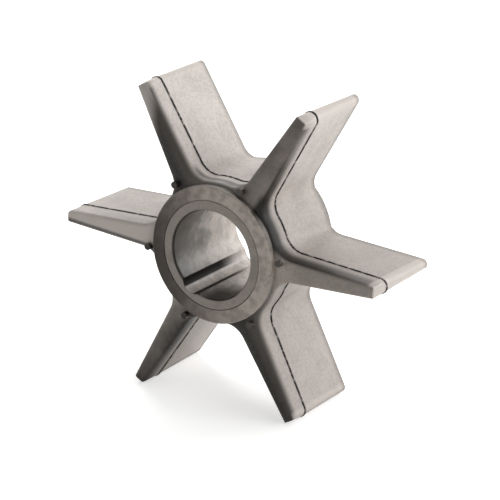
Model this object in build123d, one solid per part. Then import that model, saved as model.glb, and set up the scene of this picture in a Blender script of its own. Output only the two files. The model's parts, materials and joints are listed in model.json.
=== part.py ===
from build123d import *
import os
from math import asin, atan2, cos, hypot, pi, sin, sqrt

# Six-vane flexible impeller: a rubber vane rotor moulded and bonded round a rigid keyed bush.
# Millimetres. The shaft axis is Y through the origin, and the hub's raised face looks towards -Y.
# Y = 0 is the mould's parting plane. The part stands on the tips of its two lower vanes, with +Z up.

# Vanes
VANE_COUNT = 6
VANE_LEAN = {1: -1.5, 5: 0.5}  # degrees that single soft vanes have set off their even pitch
TIP_RADIUS = 32.5              # axis to vane tip
NOSE_DEPTH = 4.2               # parting plane to the vanes' front end faces
REAR_DEPTH = 14.1              # parting plane to the vanes' rear end faces
ROOT_HALF = 2.41               # half thickness at the hub's radius, on the parting plane
TIP_HALF = 1.34                # half thickness and rounding of the tip, on the parting plane
ROOT_THINNING = 0.58           # how much of both is lost to the mould's draft at the rear end faces
TIP_THINNING = 0.4
ROOT_FILLET = 4.0              # vane flank to hub, seen along the axis, on the parting plane
REAR_ROOT_FILLET = 3.0         # the same at the rear end faces
NOSE_THINNING = 0.05           # how much is lost to the mould's draft at the front end faces
ROUND_DEPTH = 2.0              # how far back from the front end faces their edges are rounded
ROUND_SHARE = 0.54             # rounding's width as a share of the half thickness at hub and roots
TIP_ROUND_SHARE = 0.7          # the same at the tips
ROUND_POWER = 3                # 2 makes the rounding a quarter ellipse, and more makes it squarer
ROUND_STEPS = 5                # flat steps that the rounding is made in
TIP_SETBACK = 0.35             # how far a tip falls back from parting plane to front end face
REAR_BREAK = 0.3               # edges of the rear end faces

# Flash left along the parting line
FLASH_PROUD = 0.14
FLASH_WIDTH = 0.28

# Rigid bush and its keyway
BORE_RADIUS = 8.1
BUSH_WALL = 1.95               # bore to the cylinder that is bonded to the rubber
KEY_RADIUS = 2.3               # round back of the keyway
KEY_DEPTH = 0.95               # bore to the deepest line of the keyway
KEY_ANGLE = 238.0              # degrees from +X towards +Z
MOUTH_CHAMFER = 0.3            # both mouths of the bore
SEAM_CHAMFER = 0.2             # outer edges of the bush, which leave a fine groove at the seam

# Rubber hub round the bush, and the raised rings on its two ends
HUB_WALL = 3.05                # rubber over the bush, on the parting plane
HUB_THINNING = 0.25            # how much of it is lost to the mould's draft at the rear end faces
RING_WALL = 2.5                # rubber over the bush in the front ring
REAR_RING_WALL = 2.65
RING_PROUD = 1.05              # front ring above the vanes' front end faces
REAR_RING_PROUD = 0.5          # rear ring above their rear end faces
RING_BREAK = 0.25              # outer edges of the rings
RING_FOOT = 1.2                # depth to which the rings run on into the hub

# Moulded pips, one on the root of each vane
PIP_OFFSET = 0.75              # hub's radius to the pip's centre
PIP_TURN = 6.1                 # degrees round from the vane's centre line
PIP_RADIUS = 0.62
PIP_SIDES = 16                 # flats that stand for the pips' round sides
PIP_PROUD = 0.9                # above the vanes' front end faces
PIP_FOOT = 0.8                 # depth to which the pips run on into the hub

# Worked out from the sizes above
BUSH_RADIUS = BORE_RADIUS + BUSH_WALL
KEY_FLOOR = BORE_RADIUS + KEY_DEPTH
HUB_RADIUS = BUSH_RADIUS + HUB_WALL
HUB_FRONT = NOSE_DEPTH + RING_PROUD
HUB_REAR = REAR_DEPTH + REAR_RING_PROUD
BUSH_LENGTH = HUB_FRONT + HUB_REAR
TIP_CENTRE = TIP_RADIUS - TIP_HALF
PITCH = 360 / VANE_COUNT


def flank_slope(tip_centre, root_half, tip_half):
    """Angle in radians between a vane's centre line and its straight flank."""
    reach = tip_centre - HUB_RADIUS
    return atan2(root_half, reach) - asin(tip_half / hypot(reach, root_half))


def vane_turn(index):
    """Angle in degrees at which a vane stands, with the lean that it has set to."""
    return PITCH * index + VANE_LEAN.get(index, 0)


def side_points(tip_radius, root_half, tip_half, hub_radius, root_fillet):
    """Hub, fillet, flank and shoulder points of a vane along X, on its clockwise side."""
    tip_centre = tip_radius - tip_half
    slope = flank_slope(tip_centre, root_half, tip_half)
    along = Vector(cos(slope), sin(slope))
    away = Vector(sin(slope), -cos(slope))
    rise = away.dot(Vector(HUB_RADIUS, -root_half)) + root_fillet
    run = sqrt((hub_radius + root_fillet) ** 2 - rise ** 2)
    centre = away * rise + along * run
    inwards = centre.normalized() * -1
    hub = centre + inwards * root_fillet
    bend = centre + (inwards - away).normalized() * root_fillet
    flank = centre - away * root_fillet
    shoulder = Vector(tip_centre, 0) + away * tip_half
    return hub, bend, flank, shoulder


def star(tip_radius, root_half, tip_half, hub_radius, root_fillet):
    """Face inside the outline of the hub and its vanes, with round tips and filleted roots."""
    clockwise = side_points(tip_radius, root_half, tip_half, hub_radius, root_fillet)
    counter = [Vector(point.X, -point.Y) for point in clockwise]
    edges = []
    for index in range(VANE_COUNT):
        turn = vane_turn(index)
        next_turn = vane_turn((index + 1) % VANE_COUNT) + 360 * ((index + 1) // VANE_COUNT)
        hub, bend, flank, shoulder = [point.rotate(Axis.Z, turn) for point in clockwise]
        far_hub, far_bend, far_flank, far_shoulder = [p.rotate(Axis.Z, turn) for p in counter]
        tip = Vector(tip_radius, 0).rotate(Axis.Z, turn)
        valley = Vector(hub_radius, 0).rotate(Axis.Z, (turn + next_turn) / 2)
        next_hub = clockwise[0].rotate(Axis.Z, next_turn)
        edges.append(ThreePointArc(hub, bend, flank))
        edges.append(Line(flank, shoulder))
        edges.append(ThreePointArc(shoulder, tip, far_shoulder))
        edges.append(Line(far_shoulder, far_flank))
        edges.append(ThreePointArc(far_flank, far_bend, far_hub))
        edges.append(ThreePointArc(far_hub, valley, next_hub))
    return make_face(edges)


def parting_star(grown=0.0):
    """Outline on the parting plane, grown outwards on every side."""
    return star(
        TIP_RADIUS + grown,
        ROOT_HALF + grown,
        TIP_HALF + grown,
        HUB_RADIUS + grown,
        ROOT_FILLET - grown,
    )


def rear_star(grown=0.0):
    """Outline near the rear end faces, thinner by the mould's draft, grown as above."""
    return star(
        TIP_RADIUS + grown,
        ROOT_HALF - ROOT_THINNING + grown,
        TIP_HALF - TIP_THINNING + grown,
        HUB_RADIUS - HUB_THINNING + grown,
        REAR_ROOT_FILLET - grown,
    )


def rear_half():
    """Moulding behind the parting plane: the drafted length, then its broken rear edges."""
    parting = Plane.XZ * parting_star()
    shoulder = Plane.XZ.offset(REAR_BREAK - REAR_DEPTH) * rear_star()
    end = Plane.XZ.offset(-REAR_DEPTH) * rear_star(-REAR_BREAK)
    return loft([parting, shoulder], ruled=True) + loft([shoulder, end], ruled=True)


def long_star(tip_half, root_half, hub_radius, root_fillet):
    """Outline whose flanks run on straight past the tips, to be cut off by the true tips."""
    slope = flank_slope(TIP_CENTRE, root_half, tip_half)
    tip_radius = TIP_RADIUS + TIP_HALF
    narrow = root_half * cos(slope) - (tip_radius - HUB_RADIUS) * sin(slope)
    return star(tip_radius, root_half, narrow / (1 - sin(slope)), hub_radius, root_fillet)


def rounding_step(step):
    """Outline at one step of the rounding, from 0 at its start to the front end faces."""
    turn = pi / 2 * step / ROUND_STEPS
    depth = NOSE_DEPTH - ROUND_DEPTH * (1 - sin(turn) ** (2 / ROUND_POWER))
    inset = 1 - cos(turn) ** (2 / ROUND_POWER)
    draft = NOSE_THINNING * depth / NOSE_DEPTH
    width = draft + ROOT_HALF * ROUND_SHARE * inset
    tip_width = draft + TIP_HALF * TIP_ROUND_SHARE * inset
    outline = long_star(TIP_HALF - tip_width, ROOT_HALF - width, HUB_RADIUS - width, ROOT_FILLET + width)
    return Plane.XZ.offset(depth) * outline


def tip_trim():
    """Ring outside the cone on which the tips fall back towards the front end faces."""
    end = 2 * NOSE_DEPTH
    outside = 2 * TIP_RADIUS
    section = Polyline(
        (TIP_RADIUS, 0),
        (outside, 0),
        (outside, -end),
        (TIP_RADIUS - TIP_SETBACK * end / NOSE_DEPTH, -end),
        close=True,
    )
    return revolve(make_face(section), Axis.Y)


def nose_half():
    """Moulding in front of the parting plane, with rounded long edges and square tips."""
    parting = Plane.XZ * long_star(TIP_HALF, ROOT_HALF, HUB_RADIUS, ROOT_FILLET)
    steps = [rounding_step(step) for step in range(ROUND_STEPS + 1)]
    nose = loft([parting, *steps], ruled=True)
    nose &= extrude(Plane.XZ * parting_star(), NOSE_DEPTH)
    return nose - tip_trim()


def flash():
    """Thin rib round the whole outline where the mould's halves meet."""
    return extrude(Plane.XZ * parting_star(FLASH_PROUD), FLASH_WIDTH / 2, both=True)


def rings():
    """Raised rings on the front and the rear of the hub, with their outer edges broken."""
    disc = Circle(BUSH_RADIUS + RING_WALL)
    front = extrude(Plane.XZ.offset(HUB_FRONT) * disc, -RING_PROUD - RING_FOOT)
    front = chamfer(front.faces().sort_by(Axis.Y)[0].edges(), RING_BREAK)
    disc = Circle(BUSH_RADIUS + REAR_RING_WALL)
    rear = extrude(Plane.XZ.offset(-HUB_REAR) * disc, REAR_RING_PROUD + RING_FOOT)
    rear = chamfer(rear.faces().sort_by(Axis.Y)[-1].edges(), RING_BREAK)
    return [front, rear]


def pip(index):
    """Small round pip beside the ring, on the root of one vane."""
    top = RegularPolygon(PIP_RADIUS, PIP_SIDES)
    stub = extrude(Plane.XZ.offset(NOSE_DEPTH + PIP_PROUD) * top, -PIP_PROUD - PIP_FOOT)
    turn = PITCH * index + PIP_TURN
    return Rot(0, -turn, 0) * Pos(HUB_RADIUS + PIP_OFFSET, 0, 0) * stub


def vane_rotor():
    """Rubber moulding: vanes, hub, ring, pips and flash, open for the bush."""
    body = rear_half() + nose_half()
    body += flash()
    body += rings()
    body += [pip(index) for index in range(VANE_COUNT)]
    return body - extrude(Plane.XZ.offset(HUB_FRONT) * Circle(BUSH_RADIUS), -BUSH_LENGTH)


def keyway():
    """Round-backed groove cut outwards from the bore along its whole length."""
    groove = Pos(KEY_FLOOR - KEY_RADIUS, 0) * Circle(KEY_RADIUS)
    cutter = extrude(Plane.XZ.offset(HUB_FRONT) * groove, -BUSH_LENGTH)
    return Rot(0, -KEY_ANGLE, 0) * cutter


def keyed_bush():
    """Rigid bush with its bore, keyway and chamfered ends."""
    section = Rectangle(BUSH_RADIUS - BORE_RADIUS, BUSH_LENGTH)
    section = Pos((BUSH_RADIUS + BORE_RADIUS) / 2, HUB_REAR - BUSH_LENGTH / 2) * section
    inner, outer = section.vertices().group_by(Axis.X)
    section = chamfer(inner, MOUTH_CHAMFER)
    section = chamfer(section.vertices().group_by(Axis.X)[-1], SEAM_CHAMFER)
    return revolve(section, Axis.Y) - keyway()


os.makedirs("parts", exist_ok=True)
export_step(vane_rotor(), "parts/vane_rotor.step")
export_step(keyed_bush(), "parts/keyed_bush.step")
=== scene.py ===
import json
from math import cos, pi, radians, sin

import bmesh
import bpy
from bpy.props import FloatProperty, FloatVectorProperty, PointerProperty
from mathutils import Matrix, Vector


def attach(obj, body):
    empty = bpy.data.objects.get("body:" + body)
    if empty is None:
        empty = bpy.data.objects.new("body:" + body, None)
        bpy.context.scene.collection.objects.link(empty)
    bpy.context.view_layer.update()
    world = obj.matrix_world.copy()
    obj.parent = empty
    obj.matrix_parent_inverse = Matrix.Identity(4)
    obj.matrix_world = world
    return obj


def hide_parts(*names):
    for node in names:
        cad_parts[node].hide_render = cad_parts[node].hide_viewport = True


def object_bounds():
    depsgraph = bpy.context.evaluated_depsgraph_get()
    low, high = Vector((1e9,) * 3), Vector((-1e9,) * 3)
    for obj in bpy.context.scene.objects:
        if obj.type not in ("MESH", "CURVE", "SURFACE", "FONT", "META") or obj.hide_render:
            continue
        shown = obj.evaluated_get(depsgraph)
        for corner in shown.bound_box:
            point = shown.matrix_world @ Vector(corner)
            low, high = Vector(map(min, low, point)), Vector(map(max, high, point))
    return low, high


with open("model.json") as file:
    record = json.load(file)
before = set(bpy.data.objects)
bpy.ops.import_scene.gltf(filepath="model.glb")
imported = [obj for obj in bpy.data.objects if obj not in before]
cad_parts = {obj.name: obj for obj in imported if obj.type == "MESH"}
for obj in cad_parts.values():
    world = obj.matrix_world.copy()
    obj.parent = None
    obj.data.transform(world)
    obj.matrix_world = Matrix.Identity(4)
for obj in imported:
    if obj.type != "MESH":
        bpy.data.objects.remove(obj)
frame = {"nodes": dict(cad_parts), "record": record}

bl_info = {
    "name": "Pump Impeller Finish",
    "version": (1, 0, 0),
    "blender": (4, 5, 0),
    "location": "3D View > Sidebar > Impeller",
    "description": "Gives a moulded rubber pump impeller its finish and sets its studio stage",
    "category": "Object",
}

ROOT = "root"
ROTOR = "vane_rotor"
BUSH = "keyed_bush"
LOW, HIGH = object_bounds()
MM = 0.001
MIDDLE = (LOW.y + HIGH.y) / 2
HALF = (HIGH.y - LOW.y) / 2
MERGE_DISTANCE = 0.0005 * MM    # between corners that loose triangles share
WHITE = (1, 1, 1, 1)

# Sizes that the patterns follow, in millimetres
MOUNTS = {mount["name"]: mount for mount in frame["record"]["mounts"]}
BORE_RADIUS = MOUNTS["bore"]["dims"]["r_mm"]
FRONT = LOW.y / MM          # parting plane to the ring's front face, which is towards -Y
NOSE = 4.2                  # parting plane to the vanes' front faces
RING_RADIUS = 12.55         # shaft's axis to the ring's outer edge
TIP_RADIUS = 32.5           # shaft's axis to the vanes' tips
REACH_END_SHARE = 0.55      # share of the painted light's reach by which its dark end moves forwards

# Directions square to the shaft, in degrees from the right towards the top, seen from the ring's side
RUBBER_DIRECTIONS = {
    "upper_right": 30,          # between the vane on the right and the one above it
    "lower_right": -30,         # between the vane on the right and the one below it
    "dim_front_side": 105,          # where the painted reflection on the front faces is weakest
    "dusty_side": 112,          # where the flanks carry the most painted light
    "pale_ring_side": 15,       # where the ring carries the most painted light
    "long_light_side": 40,      # square to the two vanes whose pale flanks go furthest forwards, as painted light
    "root_side": 136,           # square to the line through the painted shade at the root of the upper right vane
    "left_underside": 266.6,    # square to the lower flank of the vane on the left
}
BUSH_DIRECTIONS = {
    "shaded_wall": 165,         # where the bore is darkest at its front
    "shaded_mouth": 170,        # where the front mouth's edge is dark
    "bottom": 285,              # where shade is painted at the bottom of the bore's front, below the keyway
}

# Soft lamps round the part: name, turn from the right towards the back, rise above the floor (both in
# degrees) and side of the square in metres
LAMPS = (
    ("right", 20, 45, 1.3),
    ("low_right", 20, 15, 0.4),
    ("back_right", 65, 15, 0.4),
    ("back_left", 135, 38, 0.3),
    ("top", 135, 68, 0.7),
    ("front_left", 225, 8, 0.5),
)


class ImpellerStageSettings(bpy.types.PropertyGroup):
    """Camera, floor and lamps."""

    azimuth: FloatProperty(
        name="Camera azimuth",
        description="Angle of the camera round the part from its front, towards the right",
        default=radians(33.169),
        subtype="ANGLE",
    )
    elevation: FloatProperty(
        name="Camera elevation",
        description="Angle of the camera above the shaft's axis",
        default=radians(20.112),
        subtype="ANGLE",
    )
    roll: FloatProperty(
        name="Camera roll",
        description="Turn of the picture round the line of sight",
        default=radians(1.44),
        subtype="ANGLE",
    )
    distance: FloatProperty(
        name="Camera distance",
        description="From the camera to the shaft's axis along the line of sight",
        default=422.61 * MM,
        unit="LENGTH",
    )
    aim_right: FloatProperty(
        name="Aim right",
        description="How far right of the shaft's axis the camera aims",
        default=3.93 * MM,
        unit="LENGTH",
    )
    aim_up: FloatProperty(
        name="Aim up",
        description="How far above the shaft's axis the camera aims",
        default=-0.469 * MM,
        unit="LENGTH",
    )
    lens: FloatProperty(
        name="Focal length",
        description="Focal length of the camera in millimetres",
        default=172.99,
    )
    floor_size: FloatProperty(
        name="Floor size",
        description="Side of the square floor",
        default=4.0,
        unit="LENGTH",
    )
    floor_colour: FloatVectorProperty(
        name="Floor",
        description="Colour of the floor",
        default=(0.9, 0.9, 0.89),
        subtype="COLOR",
        size=3,
    )
    floor_glow: FloatProperty(
        name="Floor glow",
        description="Strength that lifts the floor to white where the camera or a reflection sees it",
        default=0.53,
    )
    room_light: FloatProperty(
        name="Room light",
        description="Strength of the even light from the room",
        default=0.06,
    )
    right_power: FloatProperty(
        name="Right lamp",
        description="Power of the large soft lamp on the right",
        default=4.4,
        unit="POWER",
    )
    low_right_power: FloatProperty(
        name="Low right lamp",
        description="Power of the soft lamp low on the right",
        default=2.0,
        unit="POWER",
    )
    back_right_power: FloatProperty(
        name="Back right lamp",
        description="Power of the soft lamp low behind the part on its right",
        default=2.2,
        unit="POWER",
    )
    back_left_power: FloatProperty(
        name="Back left lamp",
        description="Power of the soft lamp behind the part on its left",
        default=2.4,
        unit="POWER",
    )
    top_power: FloatProperty(
        name="Top lamp",
        description="Power of the soft lamp high above the part",
        default=1.7,
        unit="POWER",
    )
    front_left_power: FloatProperty(
        name="Front left lamp",
        description="Power of the soft lamp low in front of the part on its left",
        default=1.6,
        unit="POWER",
    )
    lamp_distance: FloatProperty(
        name="Lamp distance",
        description="From every lamp to the middle of the part",
        default=0.848,
        unit="LENGTH",
    )


class ImpellerRubberSettings(bpy.types.PropertyGroup):
    """Colours and texture sizes of the vane rotor."""

    # The flanks' pale colour is partly bloom and partly painted sheen
    flank_colour: FloatVectorProperty(
        name="Flanks",
        description="Colour of the vanes' flanks under their pale bloom",
        default=(0.5, 0.45, 0.415),
        subtype="COLOR",
        size=3,
    )
    # Pale colour of painted light: the flanks at the top, the highlights on the tips and the reflection
    # on the front faces far out on the left
    painted_light_colour: FloatVectorProperty(
        name="Dusty flanks",
        description="Colour of the flanks at the top, where the bloom is thickest",
        default=(0.68, 0.62, 0.575),
        subtype="COLOR",
        size=3,
    )
    nose_colour: FloatVectorProperty(
        name="Front faces",
        description="Colour of the clean rubber at the vanes' front end faces",
        default=(0.018, 0.015, 0.013),
        subtype="COLOR",
        size=3,
    )
    # Paler colour that paints a reflection on the front end faces
    nose_reflection: FloatVectorProperty(
        name="Bloom on front faces",
        description="Colour of the front end faces where bloom is left on them",
        default=(0.48, 0.425, 0.38),
        subtype="COLOR",
        size=3,
    )
    ring_colour: FloatVectorProperty(
        name="Ring",
        description="Colour of the raised ring's face",
        default=(0.05, 0.04, 0.033),
        subtype="COLOR",
        size=3,
    )
    # Painted light on one side of the ring's face
    ring_light: FloatVectorProperty(
        name="Bloom on the ring",
        description="Colour of the ring's face where bloom is left on it",
        default=(0.5, 0.44, 0.39),
        subtype="COLOR",
        size=3,
    )
    flash_colour: FloatVectorProperty(
        name="Parting line",
        description="Colour of the flash along the parting line",
        default=(0.012, 0.01, 0.009),
        subtype="COLOR",
        size=3,
    )
    blotch_colour: FloatVectorProperty(
        name="Blotches",
        description="Darker colour of the soft blotches and the specks",
        default=(0.1, 0.09, 0.08),
        subtype="COLOR",
        size=3,
    )
    # Where the pale flanks, partly bloom and partly painted sheen, give way to dark rubber, painting
    # shade on the noses' roundings
    bloom_and_sheen_start: FloatProperty(
        name="Bloom starts",
        description="Distance in front of the parting line where the flanks begin to darken",
        default=0.6 * MM,
        unit="LENGTH",
    )
    bloom_and_sheen_end: FloatProperty(
        name="Bloom ends",
        description="Distance in front of the parting line where the flanks are dark",
        default=2.9 * MM,
        unit="LENGTH",
    )
    # Painted light: how much further the pale flanks reach over the rounded noses of some vanes
    light_reach: FloatProperty(
        name="Bloom reach",
        description="How much further forwards the bloom goes on the upper left and lower right vanes",
        default=1.9 * MM,
        unit="LENGTH",
    )
    smooth_angle: FloatProperty(
        name="Smooth angle",
        description="Edges between faces that turn less than this are shaded smooth",
        default=radians(32),
        subtype="ANGLE",
    )
    mottle_size: FloatProperty(
        name="Mottle size",
        description="Size of the soft blotches in the rubber",
        default=5.0 * MM,
        unit="LENGTH",
    )
    speck_size: FloatProperty(
        name="Speck size",
        description="Size of the small dark specks in the rubber",
        default=0.5 * MM,
        unit="LENGTH",
    )
    patch_size: FloatProperty(
        name="Patch size",
        description="Size of the patches on the ring's face",
        default=1.6 * MM,
        unit="LENGTH",
    )
    line_break_size: FloatProperty(
        name="Line breaks",
        description="Size of the stretches in which the parting line is dark or paler",
        default=1.3 * MM,
        unit="LENGTH",
    )
    line_swell_size: FloatProperty(
        name="Line swells",
        description="Size of the stretches in which the parting line is wide or narrow",
        default=0.7 * MM,
        unit="LENGTH",
    )
    grain_size: FloatProperty(
        name="Grain size",
        description="Size of the fine grain in the moulded skin",
        default=0.25 * MM,
        unit="LENGTH",
    )
    grain_depth: FloatProperty(
        name="Grain depth",
        description="Height of the fine grain in the moulded skin",
        default=0.012 * MM,
        unit="LENGTH",
    )


class ImpellerBushSettings(bpy.types.PropertyGroup):
    """Colours and texture sizes of the keyed bush."""

    colour: FloatVectorProperty(
        name="Bush",
        description="Colour of the bush's end faces",
        default=(0.3, 0.262, 0.23),
        subtype="COLOR",
        size=3,
    )
    bore_colour: FloatVectorProperty(
        name="Bore",
        description="Colour of the satin bore",
        default=(0.7, 0.635, 0.58),
        subtype="COLOR",
        size=3,
    )
    # Colour of the painted shade towards the bore's front mouth
    bore_front_shade: FloatVectorProperty(
        name="Front of the bore",
        description="Darker colour of the bore towards its front mouth",
        default=(0.1, 0.087, 0.077),
        subtype="COLOR",
        size=3,
    )
    # Colour of the painted highlight on the keyway's floor
    key_floor_highlight: FloatVectorProperty(
        name="Keyway floor",
        description="Colour of the keyway's polished floor",
        default=(0.8, 0.74, 0.69),
        subtype="COLOR",
        size=3,
    )
    grain_colour: FloatVectorProperty(
        name="Grain",
        description="Darker colour of the grain and the blotches",
        default=(0.07, 0.06, 0.05),
        subtype="COLOR",
        size=3,
    )
    # Colour of the painted shade in the keyway's corners, at the bottom of the bore's front and along
    # its mouth
    keyway_shade_colour: FloatVectorProperty(
        name="Keyway corners",
        description="Colour of the dirt along both sides of the keyway",
        default=(0.012, 0.01, 0.009),
        subtype="COLOR",
        size=3,
    )
    key_angle: FloatProperty(
        name="Keyway angle",
        description="Where the keyway lies round the bore, in degrees from the right towards the top",
        default=238.0,
    )
    blotch_size: FloatProperty(
        name="Blotch size",
        description="Size of the blotches on the bush",
        default=2.2 * MM,
        unit="LENGTH",
    )
    grain_size: FloatProperty(
        name="Grain size",
        description="Size of the grain in the bush",
        default=0.35 * MM,
        unit="LENGTH",
    )
    grain_depth: FloatProperty(
        name="Grain depth",
        description="Height of the grain in the bush",
        default=0.02 * MM,
        unit="LENGTH",
    )


def new_material(name):
    """Node material with a principled shader on its output, its node tree and that shader."""
    material = bpy.data.materials.new(name)
    material.use_nodes = True
    tree = material.node_tree
    return material, tree, tree.nodes["Principled BSDF"]


def compute(tree, operation, first, second=None):
    """Output of a Math node, from sockets or numbers."""
    item = tree.nodes.new("ShaderNodeMath")
    item.operation = operation
    for slot, value in zip(item.inputs, (first, second)):
        if isinstance(value, bpy.types.NodeSocket):
            tree.links.new(value, slot)
        elif value is not None:
            slot.default_value = value
    return item.outputs[0]


def seen_directly(tree):
    """1 for rays from the camera and for reflected and transmitted ones, 0 for the light on the part."""
    rays = tree.nodes.new("ShaderNodeLightPath").outputs
    seen = compute(tree, "MAXIMUM", rays["Is Camera Ray"], rays["Is Glossy Ray"])
    return compute(tree, "MAXIMUM", seen, rays["Is Transmission Ray"])


class Surface:
    """Places on a piece and the patterns made from them, as sockets of its material's node tree.

    A place is in millimetres from the shaft's axis or from the parting plane.
    """

    def __init__(self, tree, directions):
        self.tree = tree
        self.directions = directions
        coordinates = tree.nodes.new("ShaderNodeTexCoord")
        parts = tree.nodes.new("ShaderNodeSeparateXYZ")
        self.place = coordinates.outputs["Object"]
        tree.links.new(self.place, parts.inputs[0])
        self.x, self.y, self.z = parts.outputs
        self.forwards = self.compute("MULTIPLY", self.y, -1.0)
        squares = [self.compute("MULTIPLY", side, side) for side in (self.x, self.z)]
        self.radius = self.compute("SQRT", self.compute("ADD", *squares))

    def compute(self, operation, first, second=None):
        """Output of a Math node in this material."""
        return compute(self.tree, operation, first, second)

    def product(self, first, *others):
        """Product of sockets or numbers."""
        for other in others:
            first = self.compute("MULTIPLY", first, other)
        return first

    def weak(self, value, strength):
        """A value or mask at part of its strength."""
        return self.compute("MULTIPLY", value, strength)

    def larger(self, first, second):
        """The larger of two values."""
        return self.compute("MAXIMUM", first, second)

    def scaled(self, value, by, plus):
        """A value times a number, plus another number."""
        return self.compute("ADD", self.compute("MULTIPLY", value, by), plus)

    def shifted(self, value, unevenness, reach):
        """A distance whose patterns wander by a share of a reach in millimetres."""
        return self.compute("ADD", value, self.compute("MULTIPLY", unevenness, reach * MM))

    def measure(self, name):
        """Distance by its name: a coordinate, the radius, one of the directions, or off_ and a name for
        the distance to either side."""
        if name.startswith("off_"):
            return self.compute("ABSOLUTE", self.measure(name.removeprefix("off_")))
        if name not in self.directions:
            return getattr(self, name)
        angle = radians(self.directions[name])
        first = self.compute("MULTIPLY", self.x, cos(angle))
        return self.compute("ADD", first, self.compute("MULTIPLY", self.z, sin(angle)))

    def rise(self, value, none, full):
        """Smooth step of a value from 0 at one of its levels to 1 at another."""
        item = self.tree.nodes.new("ShaderNodeMapRange")
        item.interpolation_type = "SMOOTHSTEP"
        item.inputs["From Min"].default_value = none
        item.inputs["From Max"].default_value = full
        self.tree.links.new(value, item.inputs["Value"])
        return item.outputs["Result"]

    def rise_mm(self, value, none, full):
        """Smooth step of a distance between two places in millimetres."""
        return self.rise(value, none * MM, full * MM)

    def within(self, **stretches):
        """Mask from named distances. Each stretch holds the millimetres where the mask is 0 and where it
        is full, or four places between which it rises and falls again."""
        steps = []
        for name, places in stretches.items():
            value = self.measure(name)
            steps.append(self.rise_mm(value, *places[:2]))
            if len(places) == 4:
                steps.append(self.rise_mm(value, places[3], places[2]))
        return self.product(*steps)

    def noise(self, size, detail=3.0):
        """Noise whose features have the given size in metres."""
        item = self.tree.nodes.new("ShaderNodeTexNoise")
        item.inputs["Scale"].default_value = 1 / size
        item.inputs["Detail"].default_value = detail
        item.inputs["Roughness"].default_value = 0.55
        self.tree.links.new(self.place, item.inputs["Vector"])
        return item.outputs["Fac"]

    def mix(self, amount, first, second):
        """Colour between two colours or colour sockets."""
        item = self.tree.nodes.new("ShaderNodeMix")
        item.data_type = "RGBA"
        self.tree.links.new(amount, item.inputs[0])
        for slot, colour in ((item.inputs[6], first), (item.inputs[7], second)):
            if isinstance(colour, bpy.types.NodeSocket):
                self.tree.links.new(colour, slot)
            else:
                slot.default_value = (*colour, 1)
        return item.outputs[2]

    def paint(self, under, colour, mask, strength):
        """A colour laid over another at the given strength where a mask lets it."""
        return self.mix(self.weak(mask, strength), under, colour)

    def bump(self, shader, height, depth):
        """Bump of a given depth in metres on the shader's normal."""
        item = self.tree.nodes.new("ShaderNodeBump")
        item.inputs["Strength"].default_value = 1.0
        item.inputs["Distance"].default_value = depth
        self.tree.links.new(height, item.inputs["Height"])
        self.tree.links.new(item.outputs[0], shader.inputs["Normal"])


def front_face_colour(surface, settings, uneven):
    """The vanes' front faces: dark rubber at the top and bottom, a painted reflection towards the sides.
    """
    share = surface.compute("DIVIDE", surface.measure("off_dim_front_side"), surface.radius)
    share = surface.compute("ADD", share, surface.weak(uneven, strength=0.5))
    # Painted shade: the painted reflection is weaker on the lower vanes' front faces and far out on the
    # right vane's
    kept = surface.scaled(surface.within(z=(-27, -13)), by=0.6, plus=0.4)
    lost = surface.weak(surface.within(x=(12, 19)), strength=0.27)
    kept = surface.compute("SUBTRACT", kept, lost)
    # Painted reflection on the front faces of the vanes towards the sides
    bloom = surface.product(surface.rise(share, none=0.97, full=0.3), kept)
    # Painted highlight on the front faces towards the upper right
    right = surface.weak(surface.within(upper_right=(-0.5, 3)), strength=0.22)
    return surface.mix(surface.larger(bloom, right), settings.nose_colour, settings.nose_reflection)


def vane_colour(surface, settings, uneven):
    """Pale flanks, partly bloom and partly painted sheen, which end in front of the parting line, with
    painted light where they reach further forwards and at the top, and a dark band of painted shade
    there.
    """
    # Painted light: on the left vane's top and on the vanes near one line the pale flanks reach further
    # forwards
    left_top = surface.within(x=(-8, -12), z=(-1, 1.5, 6, 9))
    off_line = surface.shifted(surface.measure("off_long_light_side"), uneven, reach=4)
    near_line = surface.rise_mm(off_line, none=14, full=6)
    near_line = surface.product(near_line, surface.within(upper_right=(-2, 1)))
    far = surface.larger(near_line, left_top)
    # The pale flanks give way to dark rubber in front of the parting line: painted shade on the noses'
    # roundings
    start, end, reach = settings.bloom_and_sheen_start, settings.bloom_and_sheen_end, settings.light_reach
    early = surface.rise(surface.forwards, start, end)
    late = surface.rise(surface.forwards, start + reach, end + reach * REACH_END_SHARE)
    near = surface.product(early, surface.compute("SUBTRACT", 1.0, far))
    front = surface.compute("ADD", surface.product(late, far), near)

    # Painted light: the flanks are paler towards the top
    height = surface.shifted(surface.measure("dusty_side"), uneven, reach=8)
    lit_top = surface.rise_mm(height, none=2, full=20)
    flank = surface.mix(lit_top, settings.flank_colour, settings.painted_light_colour)
    skin = surface.mix(front, flank, front_face_colour(surface, settings, uneven))

    # Painted shade: a dark band on the roundings of the right-hand vanes, and a weak streak far out on
    # the left vane
    upper = surface.within(z=(-1, 1.5), x=(0, 3))
    lower = surface.within(upper_right=(1, -1.5))
    shaded_sides = surface.product(surface.larger(upper, lower), surface.within(lower_right=(-0.5, 1.5)))
    streak = surface.product(surface.within(x=(-30, -24)), surface.weak(left_top, strength=0.3))
    band = surface.within(forwards=(0.6, 2.9, NOSE - 0.5, NOSE), z=(30, 13))
    band = surface.product(band, surface.larger(shaded_sides, streak))
    fade = surface.scaled(surface.within(radius=(34, 18)), by=0.35, plus=0.62)
    return surface.mix(surface.product(band, fade), skin, settings.nose_colour)


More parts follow.
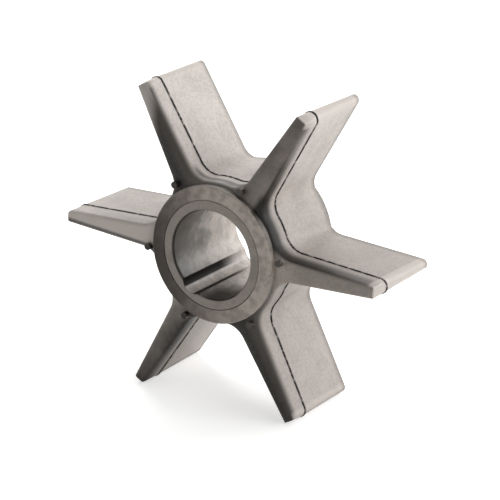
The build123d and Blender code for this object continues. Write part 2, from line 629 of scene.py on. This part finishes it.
def ring_colour(surface, settings, uneven):
    """The raised ring's face, with painted light making it paler towards one side, and patchy."""
    # Painted light: the ring's face is paler towards one side
    side = surface.shifted(surface.measure("pale_ring_side"), uneven, reach=8)
    pale = surface.rise_mm(side, none=-12.5, full=6)
    ring = surface.mix(pale, settings.ring_colour, settings.ring_light)
    patches = surface.rise(surface.noise(settings.patch_size), none=0.6, full=0.35)
    return surface.paint(ring, settings.ring_colour, patches, strength=0.35)


def painted_light_and_shade(surface, settings, skin):
    """Painted highlights on the tips, a painted reflection on the front faces far out on the left, which
    takes in half of the upper left vane's, painted shade at the feet, on the left lower edge and in the
    top gap, and darker rear ends."""
    # Painted highlight on the tips of the right-hand vanes
    tips_radius = (TIP_RADIUS - 1.9, TIP_RADIUS - 0.9)
    tips = surface.within(radius=tips_radius, forwards=(NOSE - 0.1, NOSE - 0.6), upper_right=(-2, 4))
    skin = surface.paint(skin, settings.painted_light_colour, tips, strength=0.75)
    # Painted shade where the two lower vanes stand on the floor
    feet = surface.within(z=(-26.9, -27.6))
    skin = surface.paint(skin, settings.ring_colour, feet, strength=0.35)
    # Painted reflection on the front faces far out on the left
    left_fronts = surface.within(x=(-12, -15), forwards=(NOSE - 0.6, NOSE - 0.1), z=(-5, -4))
    skin = surface.paint(skin, settings.painted_light_colour, left_fronts, strength=0.7)
    # Painted shade on the left vane's lower edge
    left_edge = surface.within(left_underside=(1.7, 2.3), x=(-11, -13), z=(-5, -4), forwards=(1, 2.5))
    skin = surface.paint(skin, settings.nose_colour, left_edge, strength=0.8)
    # Painted shade in the gap at the top of the hub
    gap = surface.within(off_x=(8, 5), radius=(17, 14), z=(8, 11), forwards=(1.2, 2.2, 2.4, 3.4))
    skin = surface.paint(skin, settings.nose_colour, gap, strength=0.7)
    rear = surface.within(y=(12.2, 14))
    return surface.paint(skin, settings.ring_colour, rear, strength=0.5)


def hub_corners(surface, settings, skin):
    """Painted shade in the corner at the foot of the ring and into one root, and the clean pips."""
    # Painted shade at the foot of the ring and into the upper right vane's root
    root = surface.within(off_root_side=(4.2, 2), radius=(17.5, 14.5))
    off_ring = surface.within(radius=(RING_RADIUS - 0.15, RING_RADIUS + 0.05))
    foot = surface.product(off_ring, surface.within(radius=(RING_RADIUS + 2.65, RING_RADIUS + 0.35)))
    there = surface.within(lower_right=(1.2, 2.4), z=(1.5, 4), forwards=(1.6, 3))
    foot = surface.product(surface.larger(foot, root), off_ring, there)
    skin = surface.mix(foot, skin, settings.flash_colour)
    pips_radius = (RING_RADIUS + 0.1, RING_RADIUS + 0.25)
    pips = surface.within(radius=pips_radius, forwards=(NOSE + 0.05, NOSE + 0.25))
    return surface.paint(skin, settings.nose_colour, pips, strength=0.85)


def parting_line(surface, settings, skin):
    """Dark line along the flash, of uneven width and paler in places."""
    width = surface.scaled(surface.noise(settings.line_swell_size), by=0.34 * MM, plus=0.06 * MM)
    beside = surface.compute("SUBTRACT", surface.measure("off_y"), width)
    solid = surface.rise(surface.noise(settings.line_break_size, detail=2.0), none=0.36, full=0.5)
    line = surface.rise_mm(beside, none=0.05, full=-0.03)
    line = surface.product(line, surface.scaled(solid, by=0.6, plus=0.4))
    return surface.mix(line, skin, settings.flash_colour)


def rubber_material(settings):
    """Satin moulded rubber: pale flanks, partly bloom and partly painted sheen, darker front faces, a
    dark broken parting line, and painted light and shade in places.
    """
    material, tree, shader = new_material("moulded_rubber")
    surface = Surface(tree, RUBBER_DIRECTIONS)
    mottle = surface.noise(settings.mottle_size)
    uneven = surface.compute("SUBTRACT", mottle, 0.5)
    skin = vane_colour(surface, settings, uneven)
    specks = surface.rise(surface.noise(settings.speck_size), none=0.6, full=0.35)
    blotches = surface.weak(surface.rise(mottle, none=0.65, full=0.3), strength=0.14)
    blotches = surface.compute("ADD", blotches, surface.weak(specks, strength=0.16))
    skin = surface.mix(blotches, skin, settings.blotch_colour)
    on_ring = surface.within(y=(FRONT + 0.65, FRONT + 0.15))
    skin = surface.mix(on_ring, skin, ring_colour(surface, settings, uneven))
    skin = painted_light_and_shade(surface, settings, skin)
    skin = hub_corners(surface, settings, skin)
    tree.links.new(parting_line(surface, settings, skin), shader.inputs["Base Color"])
    tree.links.new(surface.scaled(mottle, by=0.12, plus=0.36), shader.inputs["Roughness"])
    shader.inputs["Specular IOR Level"].default_value = 0.2
    surface.bump(shader, surface.noise(settings.grain_size, detail=4.0), settings.grain_depth)
    return material


def bore_colour(surface, settings, depth):
    """The satin bore, with painted shade towards its front and along one wall, and a painted highlight
    on the keyway's floor.
    """
    # Painted shade: the bore darkens towards its front mouth
    pale = surface.rise_mm(depth, none=-5, full=7.5)
    bore = surface.mix(pale, settings.bore_front_shade, settings.bore_colour)
    shade = surface.product(surface.within(shaded_wall=(6, 8)), surface.rise_mm(depth, none=7, full=0))
    bore = surface.paint(bore, settings.bore_front_shade, shade, strength=0.7)
    # Painted highlight on the keyway's floor
    floor = surface.within(radius=(BORE_RADIUS + 0.2, BORE_RADIUS + 0.6), off_across_keyway=(1.4, 0.9))
    return surface.mix(floor, bore, settings.key_floor_highlight)


def bore_painted_shade(surface):
    """Painted shade in both corners of the keyway, at the bottom of the bore and along its front mouth.
    """
    across = surface.measure("across_keyway")
    upper = surface.rise_mm(across, none=0.6, full=1.0)
    lower = surface.rise_mm(across, none=-0.9, full=-1.35)
    walls = surface.within(radius=(BORE_RADIUS, BORE_RADIUS + 0.1), off_across_keyway=(2.6, 2.1))
    groove = surface.product(walls, surface.larger(upper, lower))
    groove = surface.product(groove, surface.within(keyway=(5, 7), y=(14.5, 6)))
    bottom = surface.weak(surface.within(bottom=(6.8, 7.8), y=(4, -2)), strength=0.85)
    behind_face = surface.within(y=(FRONT + 0.03, FRONT + 0.15))
    inside = surface.product(surface.larger(groove, bottom), behind_face)
    edge = surface.within(radius=(BORE_RADIUS + 0.3, BORE_RADIUS + 0.15), y=(FRONT + 0.65, FRONT + 0.4))
    mouth = surface.product(edge, surface.within(shaded_mouth=(1, 6)))
    return surface.larger(inside, surface.weak(mouth, strength=0.8))


def bush_material(settings):
    """Mineral-filled moulding: grainy end faces, a satin bore and painted shade in the keyway's corners.
    """
    material, tree, shader = new_material("filled_moulding")
    directions = {"keyway": settings.key_angle, "across_keyway": settings.key_angle - 90}
    surface = Surface(tree, BUSH_DIRECTIONS | directions)
    grain = surface.noise(settings.grain_size, detail=4.0)
    blotches = surface.noise(settings.blotch_size, detail=2.0)
    off_middle = surface.compute("ABSOLUTE", surface.compute("SUBTRACT", surface.y, MIDDLE))
    end = surface.rise(off_middle, none=HALF - 0.3 * MM, full=HALF - 0.1 * MM)
    depth = surface.shifted(surface.y, surface.compute("SUBTRACT", blotches, 0.5), reach=12)
    colour = surface.mix(end, bore_colour(surface, settings, depth), settings.colour)
    specks = surface.weak(surface.rise(grain, none=0.35, full=0.7), strength=0.3)
    stains = surface.weak(surface.rise(blotches, none=0.6, full=0.35), strength=0.35)
    colour = surface.mix(surface.larger(specks, stains), colour, settings.grain_colour)
    # Painted shade, where the reflections are weakened as well
    shading = bore_painted_shade(surface)
    tree.links.new(surface.mix(shading, colour, settings.keyway_shade_colour), shader.inputs["Base Color"])
    tree.links.new(surface.scaled(shading, by=-0.46, plus=0.5), shader.inputs["Specular IOR Level"])
    rough = surface.scaled(end, by=0.22, plus=0.3)
    rough = surface.compute("ADD", rough, surface.weak(grain, strength=0.1))
    tree.links.new(rough, shader.inputs["Roughness"])
    height = surface.product(grain, surface.compute("ADD", end, 0.3))
    surface.bump(shader, height, settings.grain_depth)
    return material


def floor_material(settings):
    """Pale floor that the camera sees as white, with the part's shadow kept."""
    material, tree, shader = new_material("pale_floor")
    shader.inputs["Base Color"].default_value = (*settings.floor_colour, 1)
    shader.inputs["Roughness"].default_value = 0.8
    shader.inputs["Emission Color"].default_value = WHITE
    glow = compute(tree, "MULTIPLY", seen_directly(tree), settings.floor_glow)
    tree.links.new(glow, shader.inputs["Emission Strength"])
    return material


class IMPELLER_OT_stage(bpy.types.Operator):
    """Set the camera, the pale floor, the room's light and the lamps."""

    bl_idname = "impeller.stage"
    bl_label = "Stage"

    def execute(self, context):
        settings = context.scene.impeller_stage
        self.camera(context, settings)
        self.floor(context, settings)
        self.room(context, settings)
        for lamp in LAMPS:
            self.lamp(context, settings, *lamp)
        return {"FINISHED"}

    def lamp(self, context, settings, name, turn, rise, side):
        """Square soft lamp that faces the middle of the part."""
        turn, rise = radians(turn), radians(rise)
        data = bpy.data.lights.new(f"{name}_lamp", "AREA")
        data.shape = "SQUARE"
        data.size = side
        data.energy = getattr(settings, f"{name}_power")
        lamp = bpy.data.objects.new(data.name, data)
        way = Vector((cos(turn) * cos(rise), sin(turn) * cos(rise), sin(rise)))
        lamp.location = way * settings.lamp_distance
        lamp.rotation_euler = way.to_track_quat("Z", "Y").to_euler()
        context.scene.collection.objects.link(lamp)

    def camera(self, context, settings):
        """Camera at the photograph's angle, aimed beside the shaft's axis."""
        turn, rise = settings.azimuth, settings.elevation
        back = Vector((sin(turn) * cos(rise), -cos(turn) * cos(rise), sin(rise)))
        right = Vector((cos(turn), sin(turn), 0))
        up = back.cross(right)
        roll = Matrix.Rotation(settings.roll, 3, back)
        right, up = roll @ right, roll @ up
        aim = right * settings.aim_right + up * settings.aim_up
        data = bpy.data.cameras.new("camera")
        data.lens = settings.lens
        data.sensor_width = 36.0
        camera = bpy.data.objects.new("camera", data)
        axes = Matrix((right, up, back)).transposed().to_4x4()
        camera.matrix_world = Matrix.Translation(aim + back * settings.distance) @ axes
        context.scene.collection.objects.link(camera)
        context.scene.camera = camera

    def floor(self, context, settings):
        """Square floor under the tips of the two lower vanes."""
        mesh = bpy.data.meshes.new("floor")
        shape = bmesh.new()
        half = settings.floor_size / 2
        place = Matrix.Translation((0, 0, LOW.z))
        bmesh.ops.create_grid(shape, x_segments=1, y_segments=1, size=half, matrix=place)
        shape.to_mesh(mesh)
        shape.free()
        floor = bpy.data.objects.new("floor", mesh)
        floor.data.materials.append(floor_material(settings))
        context.scene.collection.objects.link(floor)

    def room(self, context, settings):
        """White room that gives only a little even light."""
        world = bpy.data.worlds.new("room")
        world.use_nodes = True
        tree = world.node_tree
        background = tree.nodes["Background"]
        background.inputs["Color"].default_value = WHITE
        strength = compute(tree, "MAXIMUM", seen_directly(tree), settings.room_light)
        tree.links.new(strength, background.inputs["Strength"])
        context.scene.world = world
        context.scene.view_settings.view_transform = "Standard"


def smooth_copy(node, name, limit):
    """Merged copy of a solid that stands for it, shaded smooth over edges flatter than a limit."""
    shape = bmesh.new()
    shape.from_mesh(node.data)
    bmesh.ops.remove_doubles(shape, verts=shape.verts, dist=MERGE_DISTANCE)
    for face in shape.faces:
        face.smooth = True
    for edge in shape.edges:
        edge.smooth = edge.calc_face_angle(pi) < limit
    mesh = bpy.data.meshes.new(name)
    shape.to_mesh(mesh)
    shape.free()
    piece = bpy.data.objects.new(name, mesh)
    bpy.context.scene.collection.objects.link(piece)
    weighted = piece.modifiers.new("Face weighted normals", "WEIGHTED_NORMAL")
    weighted.keep_sharp = True
    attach(piece, ROOT)
    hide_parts(node.name)
    return piece


class IMPELLER_OT_rotor(bpy.types.Operator):
    """Smooth the vane rotor's rounded noses and give it its moulded rubber."""

    bl_idname = "impeller.rotor"
    bl_label = "Vane rotor"

    def execute(self, context):
        settings = context.scene.impeller_rubber
        node = frame["nodes"][ROTOR]
        material = rubber_material(settings)
        node.material_slots[0].material = material
        piece = smooth_copy(node, "moulded_vanes", settings.smooth_angle)
        piece.data.materials.append(material)
        return {"FINISHED"}


class IMPELLER_OT_bush(bpy.types.Operator):
    """Give the keyed bush its filled moulding and satin bore."""

    bl_idname = "impeller.bush"
    bl_label = "Keyed bush"

    def execute(self, context):
        bush = frame["nodes"][BUSH]
        bush.material_slots[0].material = bush_material(context.scene.impeller_bush)
        return {"FINISHED"}


class IMPELLER_PT_panel(bpy.types.Panel):
    """Sizes, colours and steps of the impeller's finish."""

    bl_label = "Pump impeller"
    bl_space_type = "VIEW_3D"
    bl_region_type = "UI"
    bl_category = "Impeller"

    def draw(self, context):
        layout = self.layout
        for title, name in GROUPS:
            box = layout.box()
            box.label(text=title)
            settings = getattr(context.scene, name)
            for key in settings.__annotations__:
                box.prop(settings, key)
        for step in STEPS:
            layout.operator(step.bl_idname)


GROUPS = (
    ("Stage", "impeller_stage"),
    ("Vane rotor", "impeller_rubber"),
    ("Keyed bush", "impeller_bush"),
)
STEPS = (IMPELLER_OT_stage, IMPELLER_OT_rotor, IMPELLER_OT_bush)
CLASSES = (
    ImpellerStageSettings,
    ImpellerRubberSettings,
    ImpellerBushSettings,
    *STEPS,
    IMPELLER_PT_panel,
)


def register():
    """Add the classes and give the scene its settings."""
    for item in CLASSES:
        bpy.utils.register_class(item)
    bpy.types.Scene.impeller_stage = PointerProperty(type=ImpellerStageSettings)
    bpy.types.Scene.impeller_rubber = PointerProperty(type=ImpellerRubberSettings)
    bpy.types.Scene.impeller_bush = PointerProperty(type=ImpellerBushSettings)


def unregister():
    """Take the settings and the classes away again."""
    for _, name in GROUPS:
        delattr(bpy.types.Scene, name)
    for item in reversed(CLASSES):
        bpy.utils.unregister_class(item)


def main():
    """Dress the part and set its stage."""
    register()
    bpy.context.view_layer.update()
    bpy.ops.impeller.stage()
    bpy.ops.impeller.rotor()
    bpy.ops.impeller.bush()


if __name__ == "__main__":
    main()
